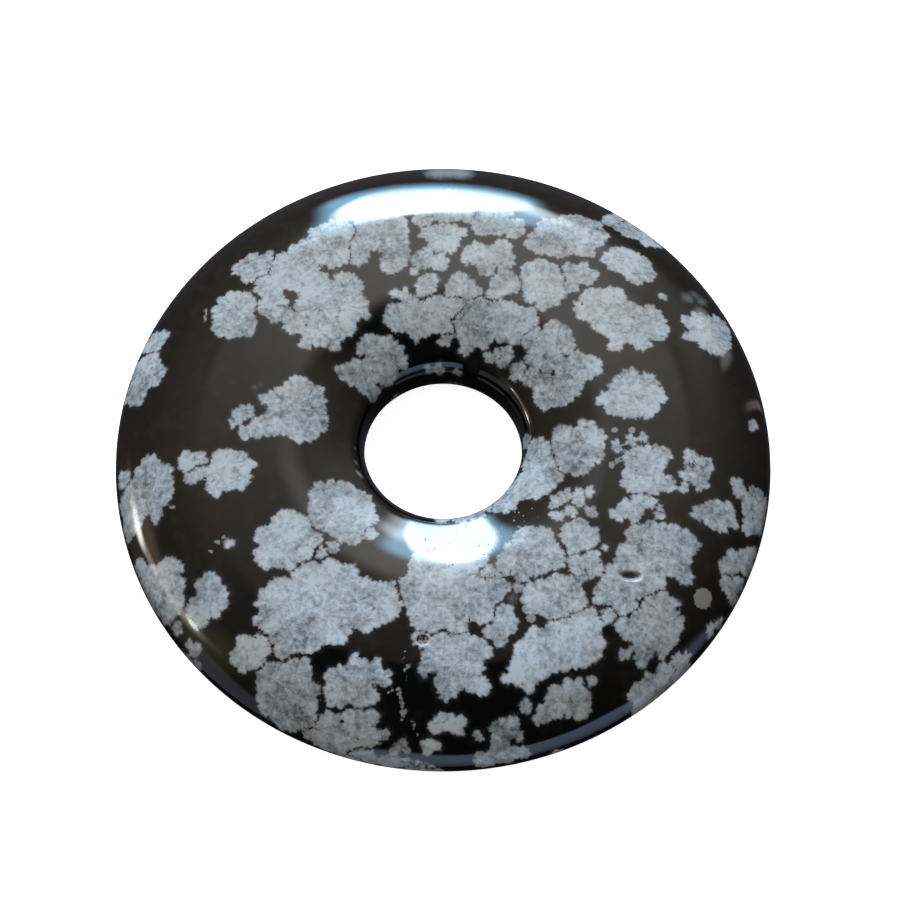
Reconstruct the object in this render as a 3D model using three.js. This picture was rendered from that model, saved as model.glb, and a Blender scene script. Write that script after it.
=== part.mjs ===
// A polished stone donut: one flat ring of obsidian with a hole drilled through its middle.
// Millimetres, +Z up. The origin is under the middle of the hole, on the face that the ring rests on.
//
// The section is the same on both faces. Each face has a narrow flat band in the middle. A wide,
// soft shoulder falls away from it on either side, and a tighter arc rounds each edge over, one into
// the rim and one into the hole. The hole is countersunk, and its drilled wall is short and straight.

import * as THREE from "three";

// Driving dimensions
const ringRadius = 20; // half of a 40 mm donut
const holeRadius = 4.83; // at the wall, which is the narrowest place
const thickness = 5.4;

// The rounding from a flat band to an edge: a shoulder arc that starts level and turns down by
// `turn` degrees, a straight slope of length `slope`, then an edge arc that turns the rest of the
// way, until the surface stands upright. An upright wall of height `wall` joins the two faces' edges.
const rimRounding = {
  shoulderRadius: 8,
  turn: 38,
  slope: 0,
  wall: 0,
  shoulderSteps: 4,
  edgeSteps: 5,
};
const holeRounding = {
  shoulderRadius: 10.2,
  turn: 21.5,
  slope: 0.75,
  wall: 0.75,
  shoulderSteps: 3,
  edgeSteps: 5,
};

// Steps around the ring
const turns = 72;

const stone = new THREE.MeshStandardMaterial({
  color: 0x2b2925,
  roughness: 0.08,
  metalness: 0,
});

// The points of one rounding, from the end of the flat band to halfway down the stone.
// Each holds how far it is out from the band, and its height above the stone's middle plane.
function roundingPoints({ shoulderRadius, turn, slope, wall, shoulderSteps, edgeSteps }) {
  const halfThickness = thickness / 2;
  const turnAngle = THREE.MathUtils.degToRad(turn);
  const dropToEdge = shoulderRadius * (1 - Math.cos(turnAngle)) + slope * Math.sin(turnAngle);
  const edgeRadius = (halfThickness - wall / 2 - dropToEdge) / Math.cos(turnAngle);
  const points = [];
  for (let i = 0; i <= shoulderSteps; i++) {
    const angle = (turnAngle * i) / shoulderSteps;
    points.push({
      out: shoulderRadius * Math.sin(angle),
      height: halfThickness - shoulderRadius * (1 - Math.cos(angle)),
    });
  }
  const edgeStart = points[shoulderSteps].out + slope * Math.cos(turnAngle);
  if (slope > 0) {
    points.push({ out: edgeStart, height: halfThickness - dropToEdge });
  }
  for (let i = 1; i <= edgeSteps; i++) {
    const angle = turnAngle + ((Math.PI / 2 - turnAngle) * i) / edgeSteps;
    points.push({
      out: edgeStart + edgeRadius * (Math.sin(angle) - Math.sin(turnAngle)),
      height: wall / 2 + (i === edgeSteps ? 0 : edgeRadius * Math.cos(angle)),
    });
  }
  if (wall > 0) {
    points.push({ out: points.at(-1).out, height: 0 });
  }
  return points;
}

// The whole section as a closed outline, where x is the distance from the axis and y is the height
// above the resting face. It runs up the rim, in over the upper face, down the hole and out again.
function sectionOutline() {
  const rim = roundingPoints(rimRounding);
  const hole = roundingPoints(holeRounding);
  const bandOuter = ringRadius - rim.at(-1).out;
  const bandInner = holeRadius + hole.at(-1).out;
  const middle = thickness / 2;
  const upper = [
    ...rim.toReversed().map((p) => new THREE.Vector2(bandOuter + p.out, middle + p.height)),
    ...hole.map((p) => new THREE.Vector2(bandInner - p.out, middle + p.height)),
  ];
  const lower = upper
    .slice(1, -1)
    .toReversed()
    .map((p) => new THREE.Vector2(p.x, thickness - p.y));
  return [...upper, ...lower, upper[0].clone()];
}

// The lathe turns the section about the Y axis, and the stone's axis is Z.
const donut = new THREE.Mesh(
  new THREE.LatheGeometry(sectionOutline(), turns).rotateX(Math.PI / 2),
  stone,
);
donut.name = "donut";

const part = new THREE.Group();
part.add(donut);

export default part;
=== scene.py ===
# A polished snowflake obsidian donut on a pale table top, lit by one tall window.
# Metres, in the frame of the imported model: +Z up, with the ring lying on its lower face.
from math import cos, pi, radians, sin

import bmesh
import bpy
import numpy as np
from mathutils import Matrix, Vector


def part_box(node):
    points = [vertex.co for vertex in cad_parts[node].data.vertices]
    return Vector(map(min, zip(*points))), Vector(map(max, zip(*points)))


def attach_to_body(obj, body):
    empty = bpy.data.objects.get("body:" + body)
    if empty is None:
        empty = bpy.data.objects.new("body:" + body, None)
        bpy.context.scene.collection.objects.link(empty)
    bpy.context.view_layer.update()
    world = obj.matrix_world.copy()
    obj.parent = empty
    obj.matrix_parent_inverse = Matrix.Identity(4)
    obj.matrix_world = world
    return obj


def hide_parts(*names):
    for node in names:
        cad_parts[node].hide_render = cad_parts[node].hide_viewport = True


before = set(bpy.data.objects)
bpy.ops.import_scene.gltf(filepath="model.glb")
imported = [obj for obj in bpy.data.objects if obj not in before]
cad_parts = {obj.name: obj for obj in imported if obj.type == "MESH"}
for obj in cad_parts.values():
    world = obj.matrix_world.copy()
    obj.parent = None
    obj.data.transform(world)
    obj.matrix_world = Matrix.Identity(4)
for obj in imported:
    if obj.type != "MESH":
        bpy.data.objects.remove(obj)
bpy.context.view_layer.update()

# The donut: its shape
#
# One ring of volcanic glass, sawn from a slab, core-drilled, ground round and tumbled to a wet polish.
# Each face has a flat band, with a soft shoulder and a tighter edge on either side of it. The hole is
# countersunk, so its shoulder goes down a short straight slope, and its edge ends in a low wall.
MM = 0.001
ring_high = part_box("donut")[1]
ring_radius = ring_high[0] / MM
thickness = ring_high[2] / MM
hole_radius = 4.83
# In mm and degrees: the shoulder's radius and turn, and how long the slope and the wall are
rim_rounding = {"shoulder_radius": 8.0, "turn": 38, "slope": 0.0, "wall": 0.0}
hole_rounding = {"shoulder_radius": 10.2, "turn": 21.5, "slope": 0.75, "wall": 0.75}
steps_round = 560
upper_step = 0.155  # fine enough for the flakes' lobes
lower_step = 0.31


def rounding(shoulder_radius, turn, slope, wall, step):
    """Points (out, height over the middle plane) from the end of the flat band to the middle plane."""
    half = thickness / 2
    turn = radians(turn)
    edge_height = half - shoulder_radius * (1 - cos(turn)) - slope * sin(turn)
    edge_radius = (edge_height - wall / 2) / cos(turn)
    shoulder_steps = round(shoulder_radius * turn / step)
    edge_steps = round(edge_radius * (pi / 2 - turn) / step)
    slope_steps = round(slope / step)
    wall_steps = round(wall / 2 / step)
    points = []
    for k in range(shoulder_steps + 1):
        angle = turn * k / shoulder_steps
        points.append((shoulder_radius * sin(angle), half - shoulder_radius * (1 - cos(angle))))
    shoulder_end, shoulder_height = points[-1]
    for k in range(1, slope_steps + 1):
        down = slope * k / slope_steps
        points.append((shoulder_end + down * cos(turn), shoulder_height - down * sin(turn)))
    slope_end = points[-1][0]
    for k in range(1, edge_steps + 1):
        angle = turn + (pi / 2 - turn) * k / edge_steps
        out = slope_end + edge_radius * (sin(angle) - sin(turn))
        points.append((out, wall / 2 + edge_radius * cos(angle)))
    for k in range(1, wall_steps + 1):
        points.append((points[-1][0], wall / 2 * (1 - k / wall_steps)))
    return points


def face_section(step):
    """Points (distance from the axis, height over the middle plane) of one face, from rim to hole."""
    rim = rounding(**rim_rounding, step=step)
    hole = rounding(**hole_rounding, step=step)
    band_outer = ring_radius - rim[-1][0]
    band_inner = hole_radius + hole[-1][0]
    band_steps = round((band_outer - band_inner) / step)
    points = [(band_outer + out, height) for out, height in reversed(rim)]
    for k in range(1, band_steps):
        points.append((band_outer + (band_inner - band_outer) * k / band_steps, thickness / 2))
    return points + [(band_inner - out, height) for out, height in hole]


upper_section = face_section(upper_step)
lower_section = [(out, -height) for out, height in reversed(face_section(lower_step)[1:-1])]
section = np.array(upper_section + lower_section)
inward_out = np.array(upper_section)[::-1]


def face_height(x, y):
    """The upper face's height over the table, in mm, at a place seen from above."""
    return thickness / 2 + np.interp(np.hypot(x, y), inward_out[:, 0], inward_out[:, 1])


bearings = 2 * pi * np.arange(steps_round) / steps_round
corners = np.stack([
    np.outer(np.cos(bearings), section[:, 0]),
    np.outer(np.sin(bearings), section[:, 0]),
    np.outer(np.ones(steps_round), section[:, 1] + thickness / 2),
], axis=-1).reshape(-1, 3)
faces = []
for step in range(steps_round):
    here = step * len(section)
    there = (step + 1) % steps_round * len(section)
    for k in range(len(section)):
        after = (k + 1) % len(section)
        faces.append((here + k, there + k, there + after, here + after))
donut_mesh = bpy.data.meshes.new("donut_stone")
donut_mesh.from_pydata(corners * MM, [], faces)
donut_mesh.polygons.foreach_set("use_smooth", [True] * len(faces))
donut_mesh.update()

# The polish left two hollows open: a long one on the right, and a rusty one in the middle of the near
# side. The mesh is made finer round them, and its points are let down into the stone.
long_hollow = {"middle": (10.8, -9.18), "half": (0.88, 0.4), "turn": -5, "deep": 0.3}
# The part of the long hollow's floor that is painted in shadow
long_hollow_shadow = {"middle": (10.82, -9.1), "half": (0.8, 0.3), "turn": -5}
rusty_hollow = {"middle": (-1.17, -13.05), "half": (0.52, 0.43), "turn": 0, "deep": 0.2}
hollow_unevenness = (0.88, 1.12)
finer_cuts = 3
finer_margin = 0.5  # how far round a hollow, as a share of its half width
settled_margin = 0.6  # the new points up to here are set on the face's curve
chance = np.random.default_rng(20)


def share_inside(hollow, x, y):
    """How far inside a hollow a place is: 1 at its middle, 0 at its edge and less outside."""
    turn = radians(hollow["turn"])
    x, y = x - hollow["middle"][0], y - hollow["middle"][1]
    along = (x * cos(turn) + y * sin(turn)) / hollow["half"][0]
    across = (y * cos(turn) - x * sin(turn)) / hollow["half"][1]
    return 1 - np.hypot(along, across)


finer = bmesh.new()
finer.from_mesh(donut_mesh)
for hollow in (long_hollow, rusty_hollow):
    edges = set()
    for face in finer.faces:
        x, y, z = face.calc_center_median() / MM
        if z > thickness / 2 and share_inside(hollow, x, y) > -finer_margin:
            edges.update(face.edges)
    bmesh.ops.subdivide_edges(finer, edges=list(edges), cuts=finer_cuts, use_grid_fill=True)
finer.to_mesh(donut_mesh)
finer.free()
places = np.empty(len(donut_mesh.vertices) * 3)
donut_mesh.vertices.foreach_get("co", places)
places = places.reshape(-1, 3) / MM
on_top = places[:, 2] > thickness / 2
for hollow in (long_hollow, rusty_hollow):
    share = share_inside(hollow, places[:, 0], places[:, 1])
    near = on_top & (share > -settled_margin)
    fall = (1 - np.cos(pi * np.clip(share[near], 0, 1))) / 2
    fall *= hollow["deep"] * chance.uniform(*hollow_unevenness, len(fall))
    places[near, 2] = face_height(places[near, 0], places[near, 1]) - fall
donut_mesh.vertices.foreach_set("co", (places * MM).ravel())
donut_mesh.update()

# The donut: its snowflakes
#
# Balls of white cristobalite that grew in the glass as it cooled. The polished face cuts through them,
# so each shows as a cluster of round lobes with petalled edges, and a dark seam is left where two met.
# Each flake of the upper face is a list of lobes, (x, y, radius) in mm, placed one by one.
flakes = [
    # Far left
    [(-12.9, 8.3, 1.3), (-13.3, 7.3, 0.85), (-12.4, 7.3, 0.95), (-12.3, 8.7, 0.8), (-13.1, 6.8, 0.5)],
    [(-12.0, 11.5, 1.0), (-11.0, 12.0, 0.55), (-12.8, 11.3, 0.5), (-12.1, 10.6, 0.5),
     (-11.3, 11.1, 0.6)],
    [(-9.6, 11.3, 1.3), (-10.8, 10.0, 1.0), (-10.5, 8.6, 0.95), (-8.8, 10.6, 1.2), (-8.1, 12.5, 1.0),
     (-6.9, 12.5, 1.2), (-7.6, 13.6, 0.9), (-6.6, 14.0, 1.0), (-7.6, 8.6, 1.5), (-6.1, 9.8, 1.1),
     (-5.9, 8.5, 1.2), (-9.1, 7.4, 0.8), (-7.6, 6.8, 1.1), (-6.3, 7.2, 0.9), (-4.9, 8.1, 0.45),
     (-7.9, 9.8, 1.1), (-10.4, 7.7, 0.35), (-8.3, 5.9, 0.4), (-6.7, 5.9, 0.35), (-9.5, 12.4, 0.4)],
    [(-18.4, 4.5, 1.3), (-18.9, 3.4, 1.0), (-17.8, 4.2, 0.9), (-18.1, 5.3, 0.6), (-18.6, 2.7, 0.4)],
    [(-17.9, 6.8, 0.75), (-17.5, 7.0, 0.5), (-18.5, 6.7, 0.5)],
    # Left
    [(-9.0, 1.6, 1.6), (-8.2, 2.2, 1.15), (-8.0, 0.9, 1.05), (-8.8, 2.8, 0.85), (-8.5, 0.1, 0.8),
     (-9.8, 0.7, 0.95), (-9.9, 2.2, 0.7), (-10.8, 2.1, 0.3), (-10.9, 0.3, 0.7), (-11.8, 0.0, 0.45)],
    [(-11.8, 1.3, 0.45), (-12.2, 1.0, 0.5), (-12.6, 0.6, 0.3)],
    [(-17.6, -2.4, 0.95), (-16.9, -2.9, 0.9), (-17.3, -4.2, 1.1), (-18.4, -3.4, 0.8),
     (-16.6, -3.6, 0.7), (-17.1, -4.9, 0.6), (-18.7, -4.5, 0.8), (-18.1, -5.2, 0.6),
     (-19.06, -4.12, 0.6), (-18.72, -5.71, 0.6)],
    [(-19.2, -2.4, 0.5)],
    [(-15.2, -1.9, 0.5), (-14.5, -1.8, 0.42), (-15.3, -2.4, 0.35)],
    [(-12.9, -1.9, 0.75), (-12.3, -2.1, 0.85), (-13.1, -2.9, 0.95), (-13.5, -3.7, 0.45),
     (-12.1, -3.0, 0.6), (-11.6, -2.2, 0.4), (-14.3, -2.7, 0.45), (-15.0, -3.0, 0.42)],
    [(-9.3, -6.3, 1.1), (-10.2, -6.8, 0.8), (-10.1, -7.8, 0.85), (-9.2, -7.9, 0.95),
     (-8.3, -7.2, 0.95), (-8.4, -6.2, 0.8), (-7.6, -6.9, 0.5)],
    [(-6.7, -4.2, 1.15), (-5.2, -4.6, 1.2), (-6.9, -5.4, 1.0), (-5.6, -5.9, 1.2), (-4.8, -5.2, 0.9),
     (-5.9, -3.6, 0.55), (-5.3, -6.6, 0.6)],
    # Round the hole
    [(-4.2, 5.9, 0.85), (-3.4, 5.7, 0.85), (-3.0, 5.1, 0.75), (-4.8, 5.7, 0.5), (-4.2, 4.6, 0.9),
     (-5.2, 4.2, 0.9), (-6.0, 4.1, 0.5), (-4.7, 3.7, 0.6), (-3.5, 4.3, 0.6), (-4.3, 3.1, 0.4)],
    [(-0.3, 5.0, 0.35), (-0.9, 4.95, 0.25), (0.8, 4.85, 0.25)],
    [(5.7, -0.8, 0.75), (5.3, -1.5, 0.8), (6.1, -2.2, 0.85), (5.3, -2.6, 1.0), (4.6, -3.3, 1.0),
     (3.8, -4.0, 0.9), (5.7, -3.4, 0.75), (6.5, -2.9, 0.6), (3.4, -4.3, 0.6)],
    [(5.0, 0.1, 0.35)],
    [(0.0, -5.1, 0.5), (1.0, -5.1, 0.5), (2.0, -4.9, 0.55), (2.6, -4.4, 0.5)],
    # Far middle
    [(-3.6, 13.6, 1.4), (-5.2, 12.6, 0.8), (-5.3, 12.0, 0.55), (-3.0, 12.7, 1.0), (-3.2, 11.7, 0.8),
     (-3.3, 14.9, 1.0), (-4.8, 14.6, 0.9), (-3.1, 11.0, 0.4), (-5.0, 13.5, 0.5)],
    [(0.0, 13.4, 1.15), (0.7, 13.7, 0.7), (-0.8, 12.6, 0.45), (-1.2, 11.8, 0.65), (-0.3, 11.7, 0.6),
     (0.3, 12.8, 0.6), (-0.9, 13.8, 0.5), (-1.8, 11.0, 0.22)],
    [(-1.2, 14.9, 0.75), (0.0, 15.2, 0.8), (1.2, 15.3, 0.75), (0.2, 16.2, 1.0)],
    [(2.6, 14.4, 0.75), (3.5, 14.4, 0.8), (4.5, 14.1, 0.7), (3.4, 15.4, 1.0)],
    [(2.0, 12.4, 0.7), (2.2, 11.7, 0.6), (2.6, 12.0, 0.95), (3.6, 12.5, 0.7), (2.6, 11.2, 0.6),
     (1.6, 11.7, 0.45), (3.9, 11.8, 0.65)],
    [(1.25, 10.0, 0.9), (0.7, 9.6, 0.6), (1.7, 9.6, 0.6), (1.5, 10.6, 0.35)],
    [(-1.0, 10.0, 0.7), (-0.8, 10.5, 0.35), (-1.5, 9.9, 0.35), (-1.5, 9.2, 0.4)],
    [(-2.4, 9.2, 0.5), (-2.8, 9.3, 0.38), (-1.9, 8.7, 0.8), (-2.6, 7.9, 1.0), (-1.5, 7.7, 1.1),
     (-0.4, 8.2, 1.1), (0.6, 8.4, 0.9), (-1.7, 6.7, 0.35), (0.2, 7.4, 0.7)],
    [(1.3, 7.7, 1.0), (2.2, 8.2, 0.95), (3.2, 8.2, 1.0), (4.3, 8.0, 0.8), (5.2, 7.8, 0.65),
     (2.4, 7.0, 0.95), (3.7, 7.1, 0.9), (1.4, 6.7, 0.6), (0.2, 6.6, 0.45), (4.9, 7.2, 0.6),
     (2.5, 6.3, 0.4), (1.4, 5.9, 0.35), (4.4, 6.5, 0.4)],
    [(3.8, 10.2, 0.85), (3.4, 9.7, 0.6), (4.3, 9.9, 0.5), (3.9, 10.8, 0.35), (3.2, 9.2, 0.5)],
    # Far right
    [(5.8, 10.9, 0.9), (6.5, 10.4, 0.85), (5.7, 9.7, 0.8), (6.6, 9.3, 0.8), (6.3, 8.7, 0.55),
     (7.0, 9.8, 0.6), (5.4, 9.2, 0.4), (6.7, 10.9, 0.6), (7.2, 10.4, 0.5)],
    [(8.2, 10.7, 0.75), (9.0, 10.7, 0.65), (8.0, 10.1, 0.55), (8.8, 11.2, 0.45), (7.9, 11.2, 0.45)],
    [(6.2, 13.2, 0.95), (7.2, 13.0, 1.0), (8.4, 13.1, 1.0), (9.3, 13.3, 0.75), (8.2, 14.4, 1.0),
     (9.4, 14.3, 0.9), (6.9, 14.0, 0.95), (9.9, 13.9, 0.5), (9.0, 12.4, 0.4)],
    [(11.3, 12.1, 0.95), (12.0, 11.6, 1.1), (12.4, 11.2, 0.8), (10.8, 11.9, 0.8), (11.9, 10.6, 0.5),
     (10.9, 11.3, 0.45)],
    [(11.0, 15.2, 0.8), (12.0, 14.8, 1.0), (13.0, 14.2, 0.8), (12.3, 15.5, 0.8), (13.5, 13.9, 0.5),
     (11.3, 15.9, 0.5)],
    [(9.4, 8.9, 0.85), (10.5, 8.9, 0.9), (9.0, 8.1, 0.7), (10.2, 7.7, 1.1), (11.4, 7.9, 0.95),
     (12.6, 7.5, 1.05), (13.0, 7.1, 0.9), (11.8, 6.8, 1.0), (10.6, 6.7, 0.7), (10.6, 5.9, 0.45),
     (12.2, 5.9, 0.45), (8.4, 8.4, 0.4)],
    [(16.3, 7.2, 1.3), (17.2, 7.9, 0.7), (17.2, 6.8, 0.8), (15.1, 7.7, 0.35), (15.1, 6.6, 0.4),
     (15.8, 8.0, 0.5), (16.3, 6.1, 0.65), (16.9, 6.0, 0.5)],
    [(13.7, 9.35, 0.25)],
    [(5.6, 6.2, 0.75), (6.3, 5.9, 0.95), (7.0, 6.6, 0.85), (5.7, 5.3, 0.65), (6.4, 4.8, 0.8),
     (5.4, 3.9, 0.55), (6.2, 3.4, 0.7), (7.0, 2.9, 1.0), (6.2, 2.5, 0.65), (7.7, 2.9, 0.7),
     (7.7, 3.9, 0.95), (8.4, 4.4, 0.85), (9.0, 4.3, 0.65), (7.6, 5.9, 0.55), (8.2, 5.2, 0.3)],
    [(4.6, 4.4, 0.45), (4.3, 4.2, 0.3)],
    [(2.9, 5.4, 0.32), (3.3, 5.5, 0.28)],
    [(3.9, 5.6, 0.38), (3.6, 5.0, 0.3)],
    # Right
    [(11.4, 2.5, 1.45), (10.8, 3.1, 0.5), (11.4, 3.5, 0.7), (12.3, 3.2, 0.75), (12.8, 2.4, 0.6),
     (12.3, 1.6, 0.75), (11.2, 1.4, 0.65), (10.4, 1.6, 0.6), (9.9, 2.2, 0.5)],
    [(7.6, -0.6, 1.05), (8.5, -0.6, 1.05), (8.0, -1.7, 1.05), (7.3, -1.8, 0.7), (8.6, 0.5, 0.45),
     (7.1, 0.1, 0.5), (9.4, -0.3, 0.4), (8.9, -1.5, 0.55)],
    [(10.5, -1.0, 0.4), (11.2, -0.6, 0.4), (11.9, -0.4, 0.3), (11.2, -1.6, 0.5), (12.2, -1.6, 0.65),
     (13.1, -1.6, 0.55), (11.7, -2.4, 0.75), (12.6, -2.1, 0.55), (11.4, -3.2, 0.8), (12.4, -3.2, 0.8),
     (13.2, -3.3, 0.45), (13.6, -3.5, 0.3)],
    [(14.7, -1.7, 0.45), (15.5, -2.3, 0.65), (15.1, -2.8, 0.65), (15.2, -3.4, 0.45),
     (14.4, -2.9, 0.3)],
    [(14.2, -3.6, 0.28)],
    [(11.6, -4.7, 0.62), (12.2, -4.7, 0.35), (10.9, -5.1, 0.62), (10.3, -5.4, 0.45),
     (11.2, -5.5, 0.38)],
    [(12.8, -4.95, 0.26)],
    [(15.9, -5.2, 0.78), (16.7, -5.1, 0.72), (16.3, -5.7, 0.65), (15.1, -5.3, 0.42),
     (17.1, -5.6, 0.35)],
    [(17.6, -3.4, 0.55), (18.5, -3.7, 0.65), (19.0, -4.0, 0.65), (18.3, -4.5, 0.65), (18.9, -4.9, 0.6),
     (18.2, -5.6, 0.55), (18.8, -5.7, 0.4)],
    [(18.8, 1.0, 0.27)],
    [(7.2, -4.1, 0.4), (6.6, -4.5, 0.45)],
    [(8.0, -4.0, 0.32), (7.9, -4.6, 0.32)],
    [(7.5, -5.1, 0.4), (6.8, -5.4, 0.42)],
    [(8.65, -3.85, 0.27)],
    [(8.7, -5.2, 0.38)],
    # Near left
    [(-8.9, -10.7, 1.3), (-9.9, -10.8, 0.9), (-10.2, -11.8, 0.6), (-8.9, -12.3, 1.4),
     (-7.6, -9.8, 1.3), (-6.2, -9.7, 1.35), (-7.0, -11.5, 1.8), (-5.0, -10.8, 1.5), (-3.7, -10.9, 1.3),
     (-4.4, -11.9, 0.75), (-6.1, -12.3, 1.0), (-7.6, -12.6, 1.1), (-9.3, -13.0, 0.8),
     (-8.4, -13.4, 0.6), (-9.2, -13.7, 0.5), (-9.4, -9.8, 0.6), (-5.5, -8.9, 0.55), (-8.0, -8.9, 0.38),
     (-2.8, -11.0, 0.55), (-3.1, -10.0, 0.45), (-6.6, -8.6, 0.4)],
    [(-11.2, -13.5, 0.85), (-10.4, -13.4, 0.75), (-11.4, -14.2, 0.55), (-10.6, -14.1, 0.55),
     (-12.0, -13.8, 0.32)],
    [(-9.6, -15.2, 1.15), (-8.4, -15.0, 1.0), (-9.5, -16.3, 1.1), (-8.3, -16.2, 1.2),
     (-8.9, -17.2, 0.9), (-7.9, -17.2, 0.85), (-7.6, -15.9, 0.6)],
    [(-13.6, -9.8, 0.8), (-13.5, -10.7, 0.95), (-14.1, -11.0, 0.75), (-14.0, -11.6, 0.45),
     (-13.0, -10.4, 0.6)],
    [(-16.1, -8.5, 0.75), (-15.6, -9.5, 0.65), (-16.5, -9.6, 0.95), (-17.2, -8.9, 0.85),
     (-15.3, -8.6, 0.28), (-16.1, -10.6, 0.85), (-15.4, -10.3, 0.45), (-16.9, -10.3, 0.6),
     (-17.85, -8.21, 0.5), (-17.18, -9.58, 0.6), (-16.19, -10.92, 0.65)],
    [(-15.4, -11.8, 0.35)],
    [(-14.5, -13.1, 0.45), (-15.0, -13.21, 0.4), (-14.37, -13.86, 0.4)],
    [(-12.4, -7.2, 0.22)],
    [(-4.35, -6.4, 0.36)],
    [(-6.5, -7.4, 0.35)],
    [(-7.1, -7.7, 0.35)],
    [(-5.8, -15.3, 0.75), (-4.7, -15.0, 0.82), (-5.9, -16.1, 0.85), (-4.8, -16.1, 0.85),
     (-4.0, -15.0, 0.55), (-3.4, -15.3, 0.45), (-4.9, -14.1, 0.25), (-3.8, -14.5, 0.28),
     (-4.0, -16.3, 0.35)],
    [(-6.4, -17.8, 0.85), (-5.0, -17.6, 0.75), (-4.2, -17.6, 0.55), (-5.5, -18.6, 0.85),
     (-4.2, -18.4, 0.65), (-3.4, -18.4, 0.35), (-6.8, -18.5, 0.75), (-7.53, -18.18, 0.45),
     (-5.9, -18.95, 0.6)],
    [(-2.9, -19.4, 0.5), (-2.29, -18.9, 0.35), (-4.96, -19.2, 0.55), (-4.12, -19.45, 0.6),
     (-3.26, -19.6, 0.6), (-2.41, -19.75, 0.55), (-1.6, -19.87, 0.45), (-0.9, -19.92, 0.35)],
    # Near middle
    [(-1.0, -9.5, 1.1), (0.4, -9.6, 1.2), (-1.4, -10.8, 0.9), (0.0, -11.0, 1.2), (1.6, -10.4, 1.2),
     (2.6, -10.1, 0.9), (3.4, -9.9, 0.5), (2.1, -11.3, 0.85), (0.8, -11.9, 0.8), (-0.6, -11.9, 0.8),
     (-1.3, -12.0, 0.5), (-1.2, -8.4, 0.8), (0.2, -8.0, 1.1), (1.6, -8.2, 0.9), (-2.0, -9.7, 0.55),
     (-1.9, -10.3, 0.55)],
    [(2.6, -9.0, 0.45), (3.1, -9.1, 0.3)],
    [(0.0, -13.5, 0.85), (1.2, -13.7, 1.0), (2.1, -13.7, 0.65), (-0.5, -14.2, 0.75),
     (0.6, -14.7, 0.95), (-1.17, -13.05, 0.54), (1.6, -14.6, 0.75), (0.3, -15.7, 0.75),
     (1.2, -15.3, 0.5), (2.0, -15.7, 0.6), (-1.1, -14.9, 0.3), (0.1, -16.3, 0.35)],
    [(3.5, -11.5, 0.55), (3.6, -12.2, 0.7), (2.8, -12.6, 0.45), (3.3, -13.0, 0.45),
     (4.0, -12.0, 0.35)],
    [(5.0, -7.0, 0.9), (4.2, -8.0, 0.95), (5.3, -8.2, 1.05), (6.2, -7.7, 0.8), (3.6, -8.6, 0.5),
     (4.6, -8.9, 0.65), (5.8, -6.7, 0.55), (6.6, -8.3, 0.45)],
    [(5.5, -10.3, 0.9), (6.6, -10.0, 0.85), (7.4, -10.6, 0.85), (6.2, -11.0, 0.85), (7.4, -9.7, 0.55),
     (5.1, -11.2, 0.4), (7.1, -11.2, 0.5), (7.9, -10.9, 0.4)],
    [(4.3, -9.9, 0.27)],
    [(5.4, -13.3, 0.95), (6.6, -13.0, 1.1), (7.8, -12.5, 1.05), (8.4, -11.9, 0.75), (8.3, -13.4, 0.95),
     (7.1, -13.9, 0.95), (5.9, -14.2, 0.9), (4.9, -14.5, 0.95), (4.3, -15.1, 0.65), (5.1, -15.2, 0.55),
     (3.7, -15.3, 0.3), (7.9, -14.2, 0.4), (4.8, -15.9, 0.35), (5.3, -12.7, 0.45), (4.7, -13.6, 0.6)],
    [(7.4, -15.9, 0.7), (6.5, -16.5, 0.75), (7.6, -16.7, 0.75), (5.9, -17.1, 0.6), (8.0, -16.3, 0.4),
     (5.5, -17.5, 0.35)],
    [(4.6, -16.8, 0.32)],
    [(8.4, -15.4, 0.27)],
    [(0.2, -17.7, 0.55), (-0.4, -17.9, 0.42), (0.8, -17.9, 0.45)],
    [(-0.7, -19.0, 0.42), (-0.2, -19.1, 0.3)],
    [(3.2, -18.1, 0.6), (3.9, -18.0, 0.5), (3.3, -18.7, 0.55), (4.3, -18.3, 0.35), (2.3, -19.6, 0.5),
     (3.0, -19.4, 0.7), (3.8, -19.3, 0.6), (4.6, -19.15, 0.4)],
    [(6.53, -18.9, 0.35)],
    [(2.05, -18.5, 0.27)],
    # Near right
    [(7.6, -6.6, 0.8), (8.3, -6.9, 0.7), (7.7, -7.3, 0.55), (8.2, -6.1, 0.45), (8.8, -6.6, 0.35)],
    [(7.9, -8.4, 0.55), (8.7, -8.0, 0.4), (8.6, -8.9, 0.45), (8.0, -9.2, 0.45), (9.1, -8.9, 0.27)],
    [(11.6, -6.9, 0.9), (12.8, -6.9, 0.95), (13.8, -7.1, 0.9), (14.5, -7.4, 0.55), (12.2, -8.2, 1.15),
     (13.5, -8.3, 1.05), (10.9, -7.9, 0.75), (12.2, -9.2, 0.8), (13.9, -9.0, 0.65), (10.6, -8.4, 0.6),
     (12.2, -6.1, 0.35), (9.9, -9.3, 0.75), (10.9, -9.8, 0.95), (9.5, -10.3, 0.8), (10.5, -10.8, 0.75),
     (11.9, -9.9, 0.5)],
    [(12.4, -11.2, 1.05), (13.1, -11.8, 0.8), (11.6, -12.0, 0.95), (10.6, -12.4, 0.7),
     (12.5, -12.6, 1.05), (11.6, -13.2, 0.8), (11.4, -13.9, 0.45), (12.6, -13.4, 0.5),
     (13.3, -10.8, 0.35)],
    [(9.4, -11.5, 0.45)],
    [(10.3, -13.8, 0.26), (10.65, -13.6, 0.18)],
    [(12.65, -5.4, 0.25)],
    [(17.0, -8.0, 0.7), (17.8, -7.8, 0.75), (18.2, -7.2, 0.45), (16.4, -8.3, 0.35), (18.3, -8.2, 0.5)],
    [(16.6, -9.2, 0.45), (17.3, -9.1, 0.55), (17.0, -9.9, 0.45)],
    [(15.6, -11.9, 0.35), (16.1, -11.5, 0.35)],
    [(13.6, -13.9, 0.65), (12.8, -14.6, 0.75), (12.0, -15.2, 0.75), (11.2, -15.9, 0.65),
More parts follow.
